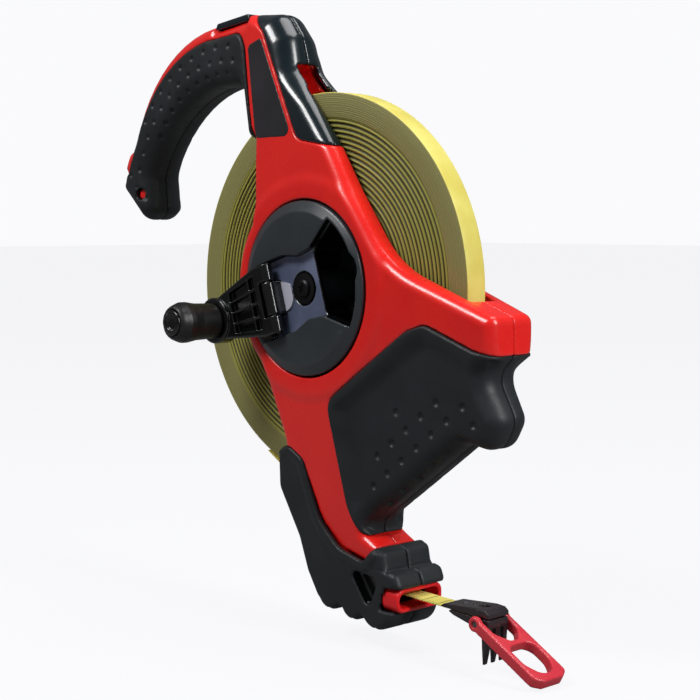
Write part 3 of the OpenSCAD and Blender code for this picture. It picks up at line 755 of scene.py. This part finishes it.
def label_plate(side):
    """A thin plate that follows the frame's skin."""
    node = side + "_label_plate"
    block = Block(*box(node), FINE)
    area = block.values(grid_of(node, FINE)).min(axis=1, keepdims=True) * 1.5
    skin = skin_field(block, plan.half["label_plate"], plan.radius)
    inner = -(skin + 1.4)
    facing = block.y[None, :, None] * (1 if side == "rear" else -1)
    values = np.maximum(np.maximum(area, skin), np.maximum(inner, 8 - facing))
    points, quads = rounded(block, values, 0.35)
    obj = piece(node + "_moulded", points, quads, "frame",
                MATERIALS["label_grey"], [node])
    return thin_out(obj, 0.5)


DISC_FACE = -26.3         # the hub disc's flat face, from the middle plane
DISC_RIM_R = 43.5         # the disc's recesses lie within this radius
RECESS_FLOOR = 4.3        # depth of the crank's recess below the face


def paint_disc(disc):
    """The disc's recesses are painted black as shade, the crank's lugs are black, and the recess's
    glossy floor gets a pale bluish-grey painted reflection.
    """
    centres, normals = (face_vectors(disc, field) for field in ("center", "normal"))
    x, y, z = (centres / MM).T
    depth = y - MID_Y - DISC_FACE
    # painted shade: faces sunk more than 1.1 mm into the disc are painted black; the lugs standing
    # proud are black like the crank
    sunk = (depth > 1.1) & (np.hypot(x, z) < DISC_RIM_R)
    lug = depth < -0.8
    # the recess's floor gets the painted reflection
    floor_face = sunk & (np.abs(depth - RECESS_FLOOR) < 0.4) & (normals[:, 1] < -0.9)
    disc.data.materials.append(MATERIALS["crank_black"])
    disc.data.materials.append(MATERIALS["recess_painted_reflection"])
    disc.data.polygons.foreach_set(
        "material_index", np.where(floor_face, 2, (sunk | lug)).astype(np.int32))


small("mouth_lip", "frame", "lip_red", 0.8)
small("top_insert", "frame", "cover_teal", 0.8)
small("tape_wiper", "frame", "felt_green", 0.6)
for side in ("front", "rear"):
    label_plate(side)
paint_disc(small("front_hub_disc", "reel", "hub_grey", 0.6, step=FINE * 1.5))
small("crank_arm", "crank", "crank_black", 0.55)
small("knob", "knob", "crank_black", 0.9, material="knob_black")
small("knob_cap", "knob", "crank_black", 0.5)
small("hook_upper_jaw", "tape_end", "hook_black", 0.45, step=FINE * 0.8)
small("hook_lower_jaw", "tape_end", "hook_black", 0.4, step=FINE * 0.8)
small("ground_spikes", "tape_end", "hook_black", 0.45, step=FINE * 0.8)
small("finger_ring", "ring", "ring_red", 0.9)


# ------------------------------------------------------------------ the coil of tape

def coil():
    """The wound tape as a spiral: a smooth outer band, then ridges where turns stand proud."""
    outer, half, _ = box("tape_coil")[1]
    inner, ridge_r, ridges, ridge_depth = 48.0, 92.5, 14, 1.1
    pitch = (ridge_r - 55) / ridges
    turns = 360         # samples round the coil
    per = 6                                    # and across each ridge
    side = [(outer - 0.4, half - 0.02), (ridge_r + 1, half - 0.02)]
    for n in range(ridges * per + 1):
        r = ridge_r - n * pitch / per
        lift = 0.5 - 0.5 * math.cos(2 * math.pi * (n % per) / per)
        side.append((r, half - 0.15 - ridge_depth * (1 - lift) ** 1.6 if n else half - 0.3))
    side.append((inner, side[-1][1] - 0.8))
    rim = [(outer - 0.1, half - 0.12), (outer, half - 0.45)]
    profile = [(r, -y) for r, y in reversed(side)] + [(r, -y) for r, y in rim]
    profile += [(r, y) for r, y in reversed(rim)] + side
    profile = np.array(profile, float)
    count = len(profile)
    angle = np.linspace(0, 2 * np.pi, turns, endpoint=False)
    spiral = (np.clip((ridge_r + 2 - profile[:, 0]) / 3, 0, 1)
              * np.clip((profile[:, 0] - 52) / 3, 0, 1))
    radius = profile[None, :, 0] - spiral[None, :] * pitch * (angle[:, None] / (2 * np.pi))
    wobble = 0.06 * np.sin(3 * angle + 0.7) + 0.04 * np.sin(7 * angle)
    depth = profile[None, :, 1] + np.sign(profile[None, :, 1]) * (wobble[:, None] - 0.1)
    points = np.stack([radius * np.cos(angle)[:, None], depth,
                       radius * np.sin(angle)[:, None]], 2).reshape(-1, 3)
    i, j = np.meshgrid(np.arange(turns), np.arange(count), indexing="ij")
    i2, j2 = (i + 1) % turns, (j + 1) % count
    quads = np.stack([i * count + j, i * count + j2, i2 * count + j2, i2 * count + j], 2)
    quads = quads.reshape(-1, 4)
    obj = piece("tape_coil_wound", points, quads, "reel", TAPE_EDGES, ["tape_coil"])
    obj.data.materials.append(TAPE_FACE)
    first = len(side) - 1
    on_rim = np.tile((np.arange(count) >= first) & (np.arange(count) <= first + 4), turns)
    obj.data.polygons.foreach_set("material_index", on_rim.astype(np.int32))


coil()


# ------------------------------------------------------------------ CAD nodes that stay

STAY = {
    "steel": ["roller_pins", "upper_guide_roller", "lower_guide_roller", "axle",
              "crank_hinge_pin", "knob_spindle", "hook_rivets"],
    "leaf_painted_glint": ["crank_detent_leaf"],
    "hook_black": ["ring_pivot_pins"],
    "screw_black": ["axle_washer", "axle_screw", "frame_screws", "hub_disc_screws"],
    "bronze": ["axle_bush"],
    "hub_grey": ["reel_drum"],
}
finishes = {node: MATERIALS[key] for key, nodes in STAY.items() for node in nodes}
finishes.update(tape_run=TAPE_FACE, tape_lead=TAPE_PRINT)
for node, material in finishes.items():
    kept = frame["nodes"][node].data.materials
    kept.clear()
    kept.append(material)


# ------------------------------------------------------------------ floor, light and camera

def floor_material():
    n = Nodes("floor")
    seen = n.add("ShaderNodeLightPath").outputs["Is Camera Ray"]
    pale = n.mix(n.noise(0.4), lin(238, 238, 240), lin(246, 246, 247))
    n.put(n.shader.inputs["Base Color"], n.mix(seen, lin(120, 120, 122), pale))
    n.put(n.shader.inputs["Roughness"], 0.8)
    glow = n.add("ShaderNodeEmission")
    n.put(glow.inputs["Color"], lin(250, 250, 252))
    mix = n.add("ShaderNodeMixShader")
    n.put(mix.inputs[0], n.math("MULTIPLY", seen, 0.93))
    n.link(n.shader.outputs[0], mix.inputs[1])
    n.link(glow.outputs[0], mix.inputs[2])
    n.link(mix.outputs[0], n.output.inputs[0])
    return n.material


def floor():
    """A pale floor, lifted towards white where the camera sees it."""
    size = 12.0
    z = cad_low.z - 0.001
    mesh = bpy.data.meshes.new("floor")
    mesh.from_pydata([(-size, -size, z), (size, -size, z), (size, size, z), (-size, size, z)], [],
                     [(0, 1, 2, 3)])
    mesh.materials.append(floor_material())
    obj = bpy.data.objects.new("floor", mesh)
    bpy.context.scene.collection.objects.link(obj)


def area_light(name, place, target, size, power):
    data = bpy.data.lights.new(name, "AREA")
    data.shape = "RECTANGLE"
    data.size, data.size_y = size
    data.energy = power
    obj = bpy.data.objects.new(name, data)
    obj.location = place
    obj.rotation_mode = "QUATERNION"
    obj.rotation_quaternion = (Vector(target) - Vector(place)).to_track_quat("-Z", "Y")
    bpy.context.scene.collection.objects.link(obj)


def camera():
    """The photograph's view: 47 degrees round and 5 degrees above the horizon."""
    azimuth, elevation, distance = math.radians(46.94), math.radians(4.76), 0.846
    shift_right, shift_down = 0.0088, 0.0345
    right = Vector((math.cos(azimuth), math.sin(azimuth), 0))
    back = Vector((math.sin(azimuth) * math.cos(elevation),
                   -math.cos(azimuth) * math.cos(elevation), math.sin(elevation)))
    up = back.cross(right)
    data = bpy.data.cameras.new("camera")
    data.sensor_width = 36
    data.lens = 79.06
    data.clip_start, data.clip_end = 0.05, 50
    obj = bpy.data.objects.new("camera", data)
    obj.rotation_mode = "QUATERNION"
    obj.rotation_quaternion = Matrix((right, up, back)).transposed().to_quaternion()
    middle = Vector((0, MID_Y * MM, 0))
    obj.location = middle + right * shift_right - up * shift_down + back * distance
    bpy.context.scene.collection.objects.link(obj)
    bpy.context.scene.camera = obj


def world():
    """White where the camera sees it, and dim as a light."""
    shade = bpy.data.worlds.new("studio")
    shade.use_nodes = True
    background = shade.node_tree.nodes["Background"]
    background.inputs[0].default_value = lin(250, 250, 252)
    seen = shade.node_tree.nodes.new("ShaderNodeLightPath").outputs["Is Camera Ray"]
    strength = shade.node_tree.nodes.new("ShaderNodeMapRange")
    shade.node_tree.links.new(seen, strength.inputs["Value"])
    strength.inputs["To Min"].default_value = 0.16
    strength.inputs["To Max"].default_value = 1.0
    shade.node_tree.links.new(strength.outputs[0], background.inputs[1])
    bpy.context.scene.world = shade


bpy.context.scene.view_settings.view_transform = "Standard"
floor()
camera()
world()
area_light("key", (-0.35, -1.1, 1.3), (0, 0, 0), (0.7, 0.5), 21)
area_light("side", (1.5, 0.1, 0.8), (0, 0, 0), (0.35, 0.9), 21)
area_light("top", (0.3, 0.4, 1.6), (0, 0, 0.05), (0.8, 0.8), 9)
